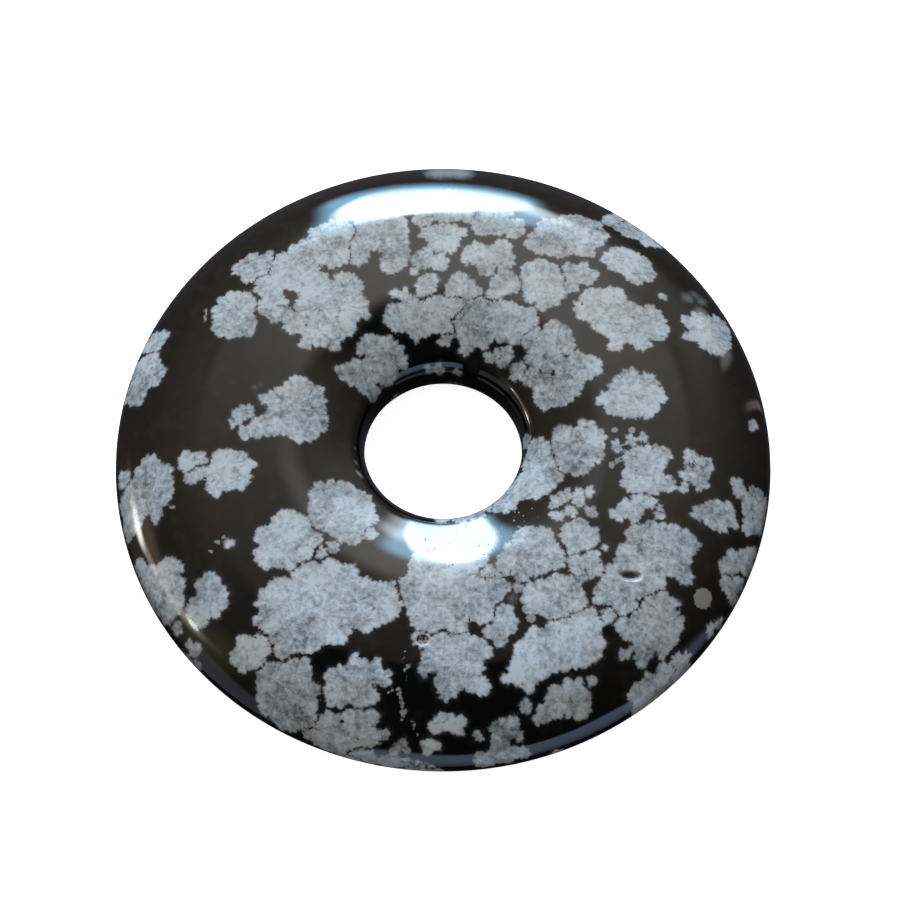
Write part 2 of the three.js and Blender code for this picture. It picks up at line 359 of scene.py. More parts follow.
     (14.0, -13.6, 0.45), (12.3, -15.6, 0.55), (11.33, -16.33, 0.6), (12.25, -15.7, 0.85),
     (13.03, -15.05, 0.85), (13.8, -14.3, 0.75)],
    [(9.4, -7.5, 0.16)],
]

# Bright crumbs beside the flakes, on the near side, the left and the right, as (x, y, radius)
crumbs = [
    (-2.21, -13.76, 0.16), (-2.24, -14.17, 0.14), (-2.36, -14.41, 0.12), (-2.01, -14.7, 0.2),
    (-1.85, -14.5, 0.15), (-2.2, -14.9, 0.15), (-2.09, -15.2, 0.12), (-2.09, -15.45, 0.12),
    (-3.08, -16.17, 0.15), (-2.85, -16.0, 0.18), (-2.51, -15.95, 0.2), (-2.45, -16.2, 0.22),
    (-2.34, -16.45, 0.22), (-2.3, -16.8, 0.24), (-2.24, -17.2, 0.28), (-2.28, -17.56, 0.2),
    (-1.78, -17.65, 0.15), (-1.68, -17.85, 0.18), (-1.61, -18.03, 0.16), (-1.49, -18.24, 0.14),
    (-1.45, -18.4, 0.12), (-13.2, -7.1, 0.25), (-12.8, -6.8, 0.2), (-13.5, -7.7, 0.22),
    (-14.7, 8.4, 0.22), (-14.7, 8.0, 0.22), (-14.7, 7.65, 0.22), (-16.0, -4.8, 0.25),
    (-11.3, -2.9, 0.2), (-11.5, -3.3, 0.22), (10.3, 0.05, 0.28), (11.3, 0.1, 0.3), (12.1, -0.4, 0.25),
    (12.65, -1.0, 0.3), (10.0, -2.2, 0.28), (10.4, -1.9, 0.28), (4.7, -10.65, 0.36),
    (4.85, -11.2, 0.42), (5.05, -11.75, 0.38), (15.1, -10.28, 0.7),
]
# Flakes that the cut missed show dimly through the glass
deep_flakes = [
    (4.0, -10.6, 0.35), (-11.4, 2.9, 0.2), (-11.1, 3.1, 0.15), (16.2, 9.5, 0.45), (15.8, 9.9, 0.35),
    (15.3, 9.5, 0.5),
    (-0.3, 19.1, 1.05), (0.4, 19.1, 1.0), (1.1, 19.1, 1.05), (0.4, 19.9, 1.1),
]
# Patches of pin pits, which show as dots in the window's reflection and beside it
pin_pits = [(0.7, -6.9, 2.4), (4.2, -5.3, 1.6), (2.2, -7.2, 1.6)]

# The lower face lies on the table, so its flakes are scattered by a fixed seed, with none on another.
# Each has a core and some side lobes, whose reach and radius are shares of the core's radius.
scatter_tries = 1500
core_radius = (0.7, 1.6)
side_lobes = (3, 9)
side_reach = (0.7, 1.25)
side_radius = (0.35, 0.75)
hole_margin = 0.3
rim_margin = 0.2
share_of_cores_apart = 1.3


def scattered_flakes(tries):
    """Flakes of the lower face, as lists of lobes (x, y, z, radius)."""
    made = []
    for _ in range(tries):
        core = chance.uniform(*core_radius)
        squares = (hole_radius + hole_margin) ** 2, (ring_radius - rim_margin) ** 2
        from_axis = np.sqrt(chance.uniform(*squares))
        bearing = chance.uniform(0, 2 * pi)
        x, y = from_axis * cos(bearing), from_axis * sin(bearing)
        if any(np.hypot(x - other[0][0], y - other[0][1]) < share_of_cores_apart * (core + other[0][3])
               for other in made):
            continue
        lobes = [(x, y, thickness - face_height(x, y), core)]
        for _ in range(chance.integers(*side_lobes)):
            side = chance.uniform(0, 2 * pi)
            side_out = core * chance.uniform(*side_reach)
            lobe_x, lobe_y = x + side_out * cos(side), y + side_out * sin(side)
            if hole_radius < np.hypot(lobe_x, lobe_y) < ring_radius:
                lobe_z = thickness - face_height(lobe_x, lobe_y)
                lobes.append((lobe_x, lobe_y, lobe_z, core * chance.uniform(*side_radius)))
        made.append(lobes)
    return made


grown = [[(x, y, float(face_height(x, y)), r) for x, y, r in lobes] for lobes in flakes]
grown += scattered_flakes(scatter_tries)


def gap(one, other):
    """The least distance between the lobes of two flakes, in mm."""
    one, other = np.array(one), np.array(other)
    apart = np.linalg.norm(one[:, None, :3] - other[None, :, :3], axis=2)
    return (apart - one[:, None, 3] - other[None, :, 3]).min()


# The flakes are shared out over four sets, so that those of one set lie well apart. The material gets
# one field for each set, how far inside a flake a place is in mm, and leaves seams where two sets meet.
sets = [[], [], [], []]
CLEAR_OF_ALL = 99.0
for lobes in sorted(grown, key=len, reverse=True):
    clear = [min((gap(lobes, other) for other in group), default=CLEAR_OF_ALL) for group in sets]
    sets[clear.index(max(clear))].append(lobes)

FAR_OUTSIDE = -5.0
flake_depths = np.full((len(places), 4), FAR_OUTSIDE)
deepest = np.full(len(places), FAR_OUTSIDE)
from_middle = np.zeros((len(places), 3))
tone = np.zeros(len(places))
for column, group in enumerate(sets):
    for lobes in group:
        tone_of_flake = chance.uniform(0, 1)
        for x, y, z, radius in lobes:
            from_lobe = places - (x, y, z)
            inside = radius - np.linalg.norm(from_lobe, axis=1)
            flake_depths[:, column] = np.maximum(flake_depths[:, column], inside)
            closer = inside > deepest
            deepest[closer] = inside[closer]
            from_middle[closer] = from_lobe[closer]
            tone[closer] = tone_of_flake
mark_depths = np.full((len(places), 3), FAR_OUTSIDE)
for column, marks in enumerate((crumbs, deep_flakes, pin_pits)):
    for x, y, radius in marks:
        apart = np.linalg.norm(places - (x, y, face_height(x, y)), axis=1)
        mark_depths[:, column] = np.maximum(mark_depths[:, column], radius - apart)
hollow_shares = np.zeros((len(places), 3))
for column, hollow in enumerate((long_hollow, rusty_hollow, long_hollow_shadow)):
    share = share_inside(hollow, places[:, 0], places[:, 1])
    hollow_shares[:, column] = np.where(on_top, np.maximum(share, 0), 0)


def attach(name, kind, values):
    """Gives the donut's mesh one value for each of its points, for the material to read."""
    field = {"FLOAT": "value", "FLOAT_VECTOR": "vector", "FLOAT_COLOR": "color"}[kind]
    donut_mesh.attributes.new(name, kind, "POINT").data.foreach_set(field, values.ravel())


attach("flake_depths", "FLOAT_COLOR", flake_depths)
attach("from_middle", "FLOAT_VECTOR", from_middle)
attach("flake_tone", "FLOAT", tone)
attach("mark_depths", "FLOAT_VECTOR", mark_depths)
attach("hollow_shares", "FLOAT_VECTOR", hollow_shares)

# The donut: its polish
#
# Snowflake obsidian with a lapidary polish: near-black glass with a wet gloss, and grey-white flakes
# with a fine radiating grain, cut flush with it and a little duller.
obsidian_ior = 1.49
flake_roughness = 0.11
glass_roughness = 0.045


def linear(hex_colour):
    """An sRGB hex colour as linear red, green, blue and alpha."""
    levels = [int(hex_colour[k:k + 2], 16) / 255 for k in (1, 3, 5)]
    return (*(v / 12.92 if v <= 0.04045 else ((v + 0.055) / 1.055) ** 2.4 for v in levels), 1.0)


def add(tree, kind, sockets=None, **settings):
    """Adds a node to a tree. A socket is given a number, a colour, another node or a node's output."""
    made = tree.nodes.new(kind)
    for name, value in settings.items():
        setattr(made, name, value)
    for name, value in (sockets or {}).items():
        if isinstance(value, bpy.types.Node):
            value = next(output for output in value.outputs if output.enabled)
        if isinstance(value, bpy.types.NodeSocket):
            tree.links.new(value, made.inputs[name])
        else:
            made.inputs[name].default_value = value
    return made


MIX_A, MIX_B = 6, 7  # a colour mix's two colour sockets
polished_obsidian = bpy.data.materials.new("polished_snowflake_obsidian")
polished_obsidian.use_nodes = True
tree = polished_obsidian.node_tree
gloss = tree.nodes["Principled BSDF"]

# How deep inside a flake a place is, and inside the next flake, in mm: the two greatest of four depths
depths = add(tree, "ShaderNodeAttribute", attribute_name="flake_depths")
a, b, c = add(tree, "ShaderNodeSeparateColor", {0: depths}).outputs
d = depths.outputs["Alpha"]
most_ab = add(tree, "ShaderNodeMath", {0: a, 1: b}, operation="MAXIMUM")
least_ab = add(tree, "ShaderNodeMath", {0: a, 1: b}, operation="MINIMUM")
most_cd = add(tree, "ShaderNodeMath", {0: c, 1: d}, operation="MAXIMUM")
least_cd = add(tree, "ShaderNodeMath", {0: c, 1: d}, operation="MINIMUM")
first = add(tree, "ShaderNodeMath", {0: most_ab, 1: most_cd}, operation="MAXIMUM")
second = add(tree, "ShaderNodeMath", {0: most_ab, 1: most_cd}, operation="MINIMUM")
second = add(tree, "ShaderNodeMath", {0: second, 1: least_ab}, operation="MAXIMUM")
second = add(tree, "ShaderNodeMath", {0: second, 1: least_cd}, operation="MAXIMUM")

# Places laid out over the ball that a lobe was cut from, so that a pattern fans out from its middle
spot = add(tree, "ShaderNodeTexCoord").outputs["Object"]
spot = add(tree, "ShaderNodeVectorMath", {0: spot, "Scale": 1 / MM}, operation="SCALE")
outward = add(tree, "ShaderNodeAttribute", attribute_name="from_middle").outputs["Vector"]
distance = add(tree, "ShaderNodeVectorMath", {0: outward}, operation="LENGTH").outputs["Value"]
ball_radius = add(tree, "ShaderNodeMath", {0: distance, 1: first}, operation="ADD")
stretch = add(tree, "ShaderNodeMath", {0: ball_radius, 1: distance}, operation="DIVIDE")
over_ball = add(tree, "ShaderNodeVectorMath", {0: outward, "Scale": stretch}, operation="SCALE")
ball_middle = add(tree, "ShaderNodeVectorMath", {0: spot, 1: outward}, operation="SUBTRACT")
unlikeness = 0.8  # how much the pattern differs from one lobe to the next
fan = add(tree, "ShaderNodeVectorMath", {0: ball_middle, 1: (unlikeness,) * 3, 2: over_ball},
          operation="MULTIPLY_ADD")

# Petals along the edges of the lobes, broad ones and fine ones, and ragged grains: how large they are
# and how far they cut in, in mm. The real grains are finer, and drawn as coarse as they need to show.
broad_petal = 0.5
broad_cut = 0.36
fine_petal = 0.23
fine_cut = 0.22
grain_size = 0.2
grain_cut = 0.11
wobble_size = 1.1
spread = 0.015
seam_width = 0.05
broad = add(tree, "ShaderNodeTexVoronoi", {"Vector": fan, "Scale": 1 / broad_petal})
broad = add(tree, "ShaderNodeMath", {0: broad, 1: broad}, operation="MULTIPLY")
fine = add(tree, "ShaderNodeTexVoronoi", {"Vector": fan, "Scale": 1 / fine_petal})
fine = add(tree, "ShaderNodeMath", {0: fine, 1: fine}, operation="MULTIPLY")
grains = add(tree, "ShaderNodeTexVoronoi", {"Vector": spot, "Scale": 1 / grain_size})
wobble = add(tree, "ShaderNodeTexNoise", {"Vector": spot, "Scale": 1 / wobble_size, "Detail": 2.0})
outline = add(tree, "ShaderNodeMath", {0: wobble, 1: 0.5, 2: first}, operation="MULTIPLY_ADD")
outline = add(tree, "ShaderNodeMath", {0: broad, 1: -broad_cut, 2: outline}, operation="MULTIPLY_ADD")
outline = add(tree, "ShaderNodeMath", {0: fine, 1: -fine_cut, 2: outline}, operation="MULTIPLY_ADD")
outline = add(tree, "ShaderNodeMath", {0: grains, 1: -grain_cut, 2: outline}, operation="MULTIPLY_ADD")
outline = add(tree, "ShaderNodeMath", {0: outline, 1: spread}, operation="ADD")
seam = add(tree, "ShaderNodeMath", {0: first, 1: second}, operation="SUBTRACT")
seam = add(tree, "ShaderNodeMath", {0: seam, 1: 0.5, 2: seam_width}, operation="MULTIPLY_ADD")
seam = add(tree, "ShaderNodeMath", {0: fine, 1: -0.3, 2: seam}, operation="MULTIPLY_ADD")
outline = add(tree, "ShaderNodeMath", {0: outline, 1: seam}, operation="MINIMUM")
snow = add(tree, "ShaderNodeMapRange", {"Value": outline, "From Min": -0.12, "From Max": 0.11},
           interpolation_type="SMOOTHSTEP")
haze = add(tree, "ShaderNodeMapRange", {"Value": outline, "From Min": -0.35, "From Max": 0.0,
                                        "To Max": 0.03}, interpolation_type="SMOOTHSTEP")
snow = add(tree, "ShaderNodeMath", {0: snow, 1: haze}, operation="MAXIMUM")

# The flakes' grain: mottled in four sizes, given in mm, and darker between the petals and in dimples
mottle_size = 0.3
fibre_size = 0.3
blotch_size = 0.9
drift_size = 2.8
dimple_size = 0.5
mottle = add(tree, "ShaderNodeTexNoise", {"Vector": spot, "Scale": 1 / mottle_size, "Detail": 3.0,
                                          "Roughness": 0.6})
fibres = add(tree, "ShaderNodeTexNoise", {"Vector": fan, "Scale": 1 / fibre_size, "Detail": 3.0})
blotches = add(tree, "ShaderNodeTexNoise", {"Vector": spot, "Scale": 1 / blotch_size, "Detail": 1.0})
drifts = add(tree, "ShaderNodeTexNoise", {"Vector": spot, "Scale": 1 / drift_size, "Detail": 0.0})
flake_tone = add(tree, "ShaderNodeAttribute", attribute_name="flake_tone").outputs["Fac"]
whiteness = add(tree, "ShaderNodeMath", {0: mottle, 1: 1.5, 2: -1.26}, operation="MULTIPLY_ADD")
whitening = [(fibres, 0.75), (blotches, 0.95), (drifts, 0.65), (broad, -0.3), (flake_tone, 0.22)]
for pattern, weight in whitening:
    whiteness = add(tree, "ShaderNodeMath", {0: pattern, 1: weight, 2: whiteness},
                    operation="MULTIPLY_ADD")
flake_colour = add(tree, "ShaderNodeValToRGB", {0: whiteness})
flake_colour.color_ramp.elements[0].position = 0.1
flake_colour.color_ramp.elements[0].color = linear("#676B6E")
flake_colour.color_ramp.elements[1].position = 1.0
flake_colour.color_ramp.elements[1].color = linear("#D4D9DC")

# They are warmer in places, browner at the petals' tips, and darker and warmer towards the far side,
# which is painted shade
warmth = add(tree, "ShaderNodeSeparateColor", {0: drifts.outputs["Color"]}).outputs[1]
warmth = add(tree, "ShaderNodeMapRange", {"Value": warmth, "From Min": 0.42, "From Max": 0.66})
flake_colour = add(tree, "ShaderNodeMix", {0: warmth, MIX_A: flake_colour, MIX_B: linear("#FFF9F5")},
                   data_type="RGBA", blend_type="MULTIPLY")
# Painted shade: the flakes are tinted darker and warmer towards the far side, standing in for light that
# falls off there
far = add(tree, "ShaderNodeSeparateXYZ", {0: spot}).outputs[1]
far = add(tree, "ShaderNodeMapRange", {"Value": far, "From Min": -ring_radius, "From Max": ring_radius})
flake_colour = add(tree, "ShaderNodeMix", {0: far, MIX_A: flake_colour, MIX_B: linear("#F1EAE2")},
                   data_type="RGBA", blend_type="MULTIPLY")
tips = add(tree, "ShaderNodeMapRange", {"Value": outline, "From Min": 0.25, "From Max": 0.03,
                                        "To Max": 0.3}, interpolation_type="SMOOTHSTEP")
flake_colour = add(tree, "ShaderNodeMix", {0: tips, MIX_A: flake_colour, MIX_B: linear("#BDB3AF")},
                   data_type="RGBA")

# Dark dimples, most of all where they are greyest
dimples = add(tree, "ShaderNodeTexNoise", {"Vector": spot, "Scale": 1 / dimple_size, "Detail": 2.0})
dimples = add(tree, "ShaderNodeMath", {0: drifts, 1: -0.3, 2: dimples}, operation="MULTIPLY_ADD")
dimples = add(tree, "ShaderNodeMapRange", {"Value": dimples, "From Min": 0.49, "From Max": 0.57,
                                           "To Max": 0.45}, interpolation_type="SMOOTHSTEP")
flake_colour = add(tree, "ShaderNodeMix", {0: dimples, MIX_A: flake_colour, MIX_B: linear("#4E5154")},
                   data_type="RGBA")

# The glass under them: black with faint clouds, and the crumbs and deep flakes in it
clouds = add(tree, "ShaderNodeMapRange", {"Value": blotches, "From Min": 0.5, "From Max": 0.75},
             interpolation_type="SMOOTHSTEP")
glass = add(tree, "ShaderNodeMix", {0: clouds, MIX_A: linear("#0A0A09"), MIX_B: linear("#191613")},
            data_type="RGBA")
mark_values = add(tree, "ShaderNodeAttribute", attribute_name="mark_depths").outputs["Vector"]
mark_values = add(tree, "ShaderNodeSeparateXYZ", {0: mark_values})
crumb_depth, deep_flake_depth, pin_pit_depth = mark_values.outputs
deep_flake = add(tree, "ShaderNodeMath", {0: mottle, 1: 0.5, 2: deep_flake_depth},
                 operation="MULTIPLY_ADD")
deep_flake = add(tree, "ShaderNodeMapRange", {"Value": deep_flake, "From Min": 0.05, "From Max": 1.1,
                                              "To Max": 0.9}, interpolation_type="SMOOTHSTEP")
glass = add(tree, "ShaderNodeMix", {0: deep_flake, MIX_A: glass, MIX_B: linear("#959391")},
            data_type="RGBA")
crumb = add(tree, "ShaderNodeMath", {0: grains, 1: -0.16, 2: crumb_depth}, operation="MULTIPLY_ADD")
crumb = add(tree, "ShaderNodeMapRange", {"Value": crumb, "From Min": -0.05, "From Max": 0.06,
                                         "To Max": 0.85}, interpolation_type="SMOOTHSTEP")
glass = add(tree, "ShaderNodeMix", {0: crumb, MIX_A: glass, MIX_B: linear("#A39C95")}, data_type="RGBA")
colour = add(tree, "ShaderNodeMix", {0: snow, MIX_A: glass, MIX_B: flake_colour}, data_type="RGBA")

# The two hollows: the long one with painted shadow on its floor under its far wall, the other lined with
# specked rust
rust_speck = 0.22
shares = add(tree, "ShaderNodeAttribute", attribute_name="hollow_shares").outputs["Vector"]
in_long, in_rusty, in_long_shadow = add(tree, "ShaderNodeSeparateXYZ", {0: shares}).outputs
# Painted shadow: the long hollow's floor is coloured dark where its far wall shades it
shade = add(tree, "ShaderNodeMapRange", {"Value": in_long_shadow, "From Min": 0.05, "From Max": 0.65,
                                         "To Max": 0.95}, interpolation_type="SMOOTHSTEP")
colour = add(tree, "ShaderNodeMix", {0: shade, MIX_A: colour, MIX_B: linear("#24282D")},
             data_type="RGBA")
rust = add(tree, "ShaderNodeTexNoise", {"Vector": spot, "Scale": 1 / rust_speck, "Detail": 1.0})
rust = add(tree, "ShaderNodeValToRGB", {0: rust})
rust.color_ramp.elements[0].position = 0.42
rust.color_ramp.elements[0].color = linear("#1F1613")
rust.color_ramp.elements[1].position = 0.54
rust.color_ramp.elements[1].color = linear("#A0877A")
lining = add(tree, "ShaderNodeMapRange", {"Value": in_rusty, "From Min": 0.2, "From Max": 0.4},
             interpolation_type="SMOOTHSTEP")
colour = add(tree, "ShaderNodeMix", {0: lining, MIX_A: colour, MIX_B: rust}, data_type="RGBA")

# The pin pits: dots with no gloss in some cells of the pattern, coloured blue-grey as a painted glint of
# the window's light that their rough faces catch. The real ones lie closer, and are drawn as coarse as
# they need to show.
pit_spacing = 0.26
pit_cells = add(tree, "ShaderNodeTexVoronoi", {"Vector": spot, "Scale": 1 / pit_spacing})
pit_size = add(tree, "ShaderNodeSeparateColor", {0: pit_cells.outputs["Color"]}).outputs[0]
pit_and_painted_glint = add(tree, "ShaderNodeMath", {0: pit_size, 1: 0.4, 2: pit_cells}, operation="MULTIPLY_ADD")
pit_and_painted_glint = add(tree, "ShaderNodeMapRange", {"Value": pit_and_painted_glint, "From Min": 0.36, "From Max": 0.24},
              interpolation_type="SMOOTHSTEP")
pitted = add(tree, "ShaderNodeMapRange", {"Value": pin_pit_depth, "From Max": 0.5})
pit_and_painted_glint = add(tree, "ShaderNodeMath", {0: pit_and_painted_glint, 1: pitted}, operation="MULTIPLY")
# Painted glint: the pits are coloured blue-grey to stand in for the window's light caught by their rough
# faces
colour = add(tree, "ShaderNodeMix", {0: pit_and_painted_glint, MIX_A: colour, MIX_B: linear("#48656C")},
             data_type="RGBA")
tree.links.new(colour.outputs[2], gloss.inputs["Base Color"])

# The hollows and the pin pits have no gloss, and the flakes a little less than the glass
roughness = add(tree, "ShaderNodeMapRange", {"Value": snow, "To Min": glass_roughness,
                                             "To Max": flake_roughness})
unpolished = add(tree, "ShaderNodeMath", {0: in_long, 1: in_rusty}, operation="ADD")
unpolished = add(tree, "ShaderNodeMapRange", {"Value": unpolished, "From Min": 0.02, "From Max": 0.2,
                                              "To Max": 0.6})
for dull, weight in ((unpolished, 1.0), (pit_and_painted_glint, 0.5)):
    roughness = add(tree, "ShaderNodeMath", {0: dull, 1: weight, 2: roughness}, operation="MULTIPLY_ADD")
tree.links.new(roughness.outputs[0], gloss.inputs["Roughness"])
gloss.inputs["IOR"].default_value = obsidian_ior

# The lap leaves the glass very slightly waved
wave_length = 3.5
wave_depth = 0.012
wave = add(tree, "ShaderNodeTexNoise", {"Vector": spot, "Scale": 1 / wave_length, "Detail": 1.0})
bump = add(tree, "ShaderNodeBump", {"Height": wave, "Distance": wave_depth * MM, "Strength": 1.0})
tree.links.new(bump.outputs[0], gloss.inputs["Normal"])

donut_mesh.materials.append(polished_obsidian)
donut = bpy.data.objects.new("snowflake_donut", donut_mesh)
bpy.context.collection.objects.link(donut)
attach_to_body(donut, "root")
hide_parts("donut")
print("donut", sum(len(face.vertices) - 2 for face in donut_mesh.polygons), "triangles")

# The table top
#
# A plain sheet of matt white card, lit from below as on a light table, so that almost no shadow shows.
# It lies a hair's breadth under the stone, so that no two faces are in one plane.
card_half = 700 * MM
card_top = -0.01 * MM
card_corners = [(-card_half, -card_half, card_top), (card_half, -card_half, card_top),
                (card_half, card_half, card_top), (-card_half, card_half, card_top)]
card_mesh = bpy.data.meshes.new("white_card")
card_mesh.from_pydata(card_corners, [], [(0, 1, 2, 3)])
card = bpy.data.objects.new("white_card", card_mesh)
bpy.context.collection.objects.link(card)
matt_card = bpy.data.materials.new("matt_white_card")
matt_card.use_nodes = True
card_shader = matt_card.node_tree.nodes["Principled BSDF"]
cloud_size = 2.0 * MM  # the card's faint unevenness
cloudiness = add(matt_card.node_tree, "ShaderNodeTexNoise", {"Scale": 1 / cloud_size, "Detail": 2.0})
paper = add(matt_card.node_tree, "ShaderNodeValToRGB", {0: cloudiness})
paper.color_ramp.elements[0].color = linear("#F4F4F4")
paper.color_ramp.elements[1].color = linear("#F8F8F8")
matt_card.node_tree.links.new(paper.outputs[0], card_shader.inputs["Base Color"])
card_shader.inputs["Roughness"].default_value = 0.9
card_shader.inputs["Specular IOR Level"].default_value = 0.1
card_shader.inputs["Emission Color"].default_value = linear("#FFFFFF")
card_shader.inputs["Emission Strength"].default_value = 0.95
card_mesh.materials.append(matt_card)
card.visible_glossy = False
card.visible_diffuse = False

# The light
#
# Three soft panels light the stone: cool daylight from ahead, warm light from above and a little from
# behind. The gloss mirrors a dim room instead: one tall window ahead, walls, and a lamp to the left.
panels = [
    {"name": "daylight", "bearing": -8, "height": 31, "width": 300, "tall": 392,
     "radiance": (10.6, 14.3, 18.4)},
    {"name": "ceiling_light", "bearing": -90, "height": 76, "width": 600, "tall": 600,
     "radiance": (1.3, 1.2, 1.0)},
    {"name": "light_behind", "bearing": 172, "height": 9, "width": 600, "tall": 200,
     "radiance": (2.5, 2.9, 3.3)},
]
panel_distance = 700 * MM
ring_middle = Vector((0, 0, thickness / 2 * MM))
for panel in panels:
    towards = Vector((sin(radians(panel["bearing"])) * cos(radians(panel["height"])),
                      cos(radians(panel["bearing"])) * cos(radians(panel["height"])),
                      sin(radians(panel["height"]))))
    lamp_data = bpy.data.lights.new(panel["name"], "AREA")
    lamp_data.shape = "RECTANGLE"
    lamp_data.size = panel["width"] * MM
    lamp_data.size_y = panel["tall"] * MM
    lamp_data.energy = pi * lamp_data.size * lamp_data.size_y  # the lamp's colour is its radiance
    lamp_data.color = panel["radiance"]
    lamp = bpy.data.objects.new(panel["name"], lamp_data)
    bpy.context.collection.objects.link(lamp)
    lamp.location = ring_middle + towards * panel_distance
    lamp.rotation_mode = "QUATERNION"
    lamp.rotation_quaternion = (-towards).to_track_quat("-Z", "Y")
    lamp.visible_glossy = False
    lamp.visible_camera = False

# Each part of the room: the bearing (clockwise from straight ahead) and height of its middle, and half
# its width and height, all in degrees. Its corners are squarer the higher "corner" is. It narrows upwards
# by "taper" and leans to the left by "slant", and it slopes down to the right by "lean". It fades over
# "edge", a share of its size, and between the two heights of its foot, which slopes by "foot_lean".
room_parts = [
    # The window, broad below and narrow above, in a blue glow, its light spilling up and to the right
    {"middle": (-1.4, 28), "half": (12.3, 21), "corner": 1.9, "taper": 0.15, "slant": 0.04, "lean": 0.12,
     "edge": 0.09, "foot": (12, 28), "foot_lean": -0.3, "radiance": 20, "tint": (0.85, 0.97, 1.0)},
    {"middle": (-1.8, 25.2), "half": (14.0, 24), "corner": 5, "edge": 0.14,
     "foot": (5, 19), "foot_lean": -0.3, "radiance": 10, "tint": (0.33, 0.68, 1.0)},
    {"middle": (12, 31), "half": (4.5, 5.5), "corner": 2, "edge": 0.7,
     "radiance": 9, "tint": (0.82, 0.95, 1.0)},
    {"middle": (15, 38), "half": (8, 9), "corner": 2, "edge": 0.8,
     "radiance": 1.5, "tint": (0.75, 0.92, 1.0)},
    {"middle": (2, 48), "half": (15, 20), "corner": 2, "edge": 0.85, "foot": (72, 60),
     "radiance": 1.9, "tint": (0.98, 1.0, 0.98)},
    # The walls and the ceiling, and the dark below them
    {"middle": (-10, 50), "half": (95, 50), "corner": 2, "edge": 0.8, "foot": (78, 66),
     "radiance": 0.38, "tint": (1.0, 0.85, 0.7)},
    {"middle": (12, 60), "half": (55, 30), "corner": 2, "edge": 0.8, "foot": (76, 65),
     "radiance": 0.32, "tint": (1.0, 0.9, 0.8)},
    {"middle": (32, 36), "half": (14, 16), "corner": 2, "edge": 0.7,
     "radiance": 0.4, "tint": (0.92, 1.0, 1.0)},
    {"middle": (0, -30), "half": (80, 28), "corner": 2, "edge": 0.6,
     "radiance": 0.12, "tint": (0.9, 0.85, 1.15)},
    # The lamp on the left and the brown wall it lights
    {"middle": (-92, 23.8), "half": (15, 2.2), "corner": 4, "edge": 0.7, "lean": 0.5,
     "radiance": 3.2, "tint": (1.0, 0.92, 0.84)},
    {"middle": (-82.5, 18.5), "half": (4.5, 2.6), "corner": 2, "edge": 0.6, "lean": 0.2,
     "radiance": 18, "tint": (1.0, 0.97, 0.92)},
    {"middle": (-106.3, 32.2), "half": (1.7, 1.9), "corner": 2, "edge": 0.3,
     "radiance": 15, "tint": (0.95, 1.0, 0.88)},
    {"middle": (-103, 31), "half": (5, 4), "corner": 2, "edge": 0.8,
     "radiance": 2.4, "tint": (1.0, 1.0, 0.88)},
    {"middle": (-85, 27), "half": (11, 5), "corner": 2, "edge": 0.8,
     "radiance": 1.1, "tint": (1.0, 0.6, 0.38)},
    {"middle": (-111, 36), "half": (9, 12), "corner": 2, "edge": 0.8,
     "radiance": 0.35, "tint": (0.95, 1.0, 0.5)},
    {"middle": (-95, 5), "half": (22, 24), "corner": 2, "edge": 0.8,
     "radiance": 0.3, "tint": (1.0, 0.8, 0.62)},
    # Pale strips on the right
    {"middle": (41.5, 19), "half": (1.7, 9), "corner": 2, "edge": 0.6,
     "radiance": 3.5, "tint": (1.0, 0.98, 0.95)},
    {"middle": (49, 17), "half": (1.2, 8), "corner": 2, "edge": 0.6,
     "radiance": 1.5, "tint": (1.0, 0.98, 0.95)},
    {"middle": (59, 0), "half": (0.8, 14), "corner": 4, "edge": 0.5,
     "radiance": 1.1, "tint": (1.0, 0.85, 0.78)},
    # Behind the viewer
    {"middle": (-16, 0), "half": (35, 29.5), "corner": 8, "edge": 0.05, "lean": -0.08, "foot": (-45, 18),
     "behind": True, "radiance": 1.9, "tint": (0.5, 0.7, 1.0)},
    {"middle": (-60, 0), "half": (14, 24), "corner": 4, "edge": 0.2, "foot": (-30, 22),
     "behind": True, "radiance": 1.3, "tint": (0.55, 0.62, 1.0)},
    {"middle": (52, 0), "half": (16, 27), "corner": 8, "edge": 0.06, "behind": True,
     "radiance": 0.45, "tint": (0.85, 0.92, 1.15)},
]
ROOM_SHADE = (0.016, 0.015, 0.017)
room = bpy.data.worlds.new("room")
bpy.context.scene.world = room
room.use_nodes = True
room.cycles_visibility.diffuse = False
tree = room.node_tree
axes = add(tree, "ShaderNodeSeparateXYZ", {0: add(tree, "ShaderNodeTexCoord").outputs["Generated"]})
right, ahead, up = axes.outputs
left = add(tree, "ShaderNodeMath", {0: right, 1: -1.0}, operation="MULTIPLY")
back = add(tree, "ShaderNodeMath", {0: ahead, 1: -1.0}, operation="MULTIPLY")
bearing_ahead = add(tree, "ShaderNodeMath", {0: right, 1: ahead}, operation="ARCTAN2")
bearing_behind = add(tree, "ShaderNodeMath", {0: left, 1: back}, operation="ARCTAN2")
elevation = add(tree, "ShaderNodeMath", {0: up}, operation="ARCSINE")
glow = add(tree, "ShaderNodeCombineXYZ", dict(enumerate(ROOM_SHADE)))
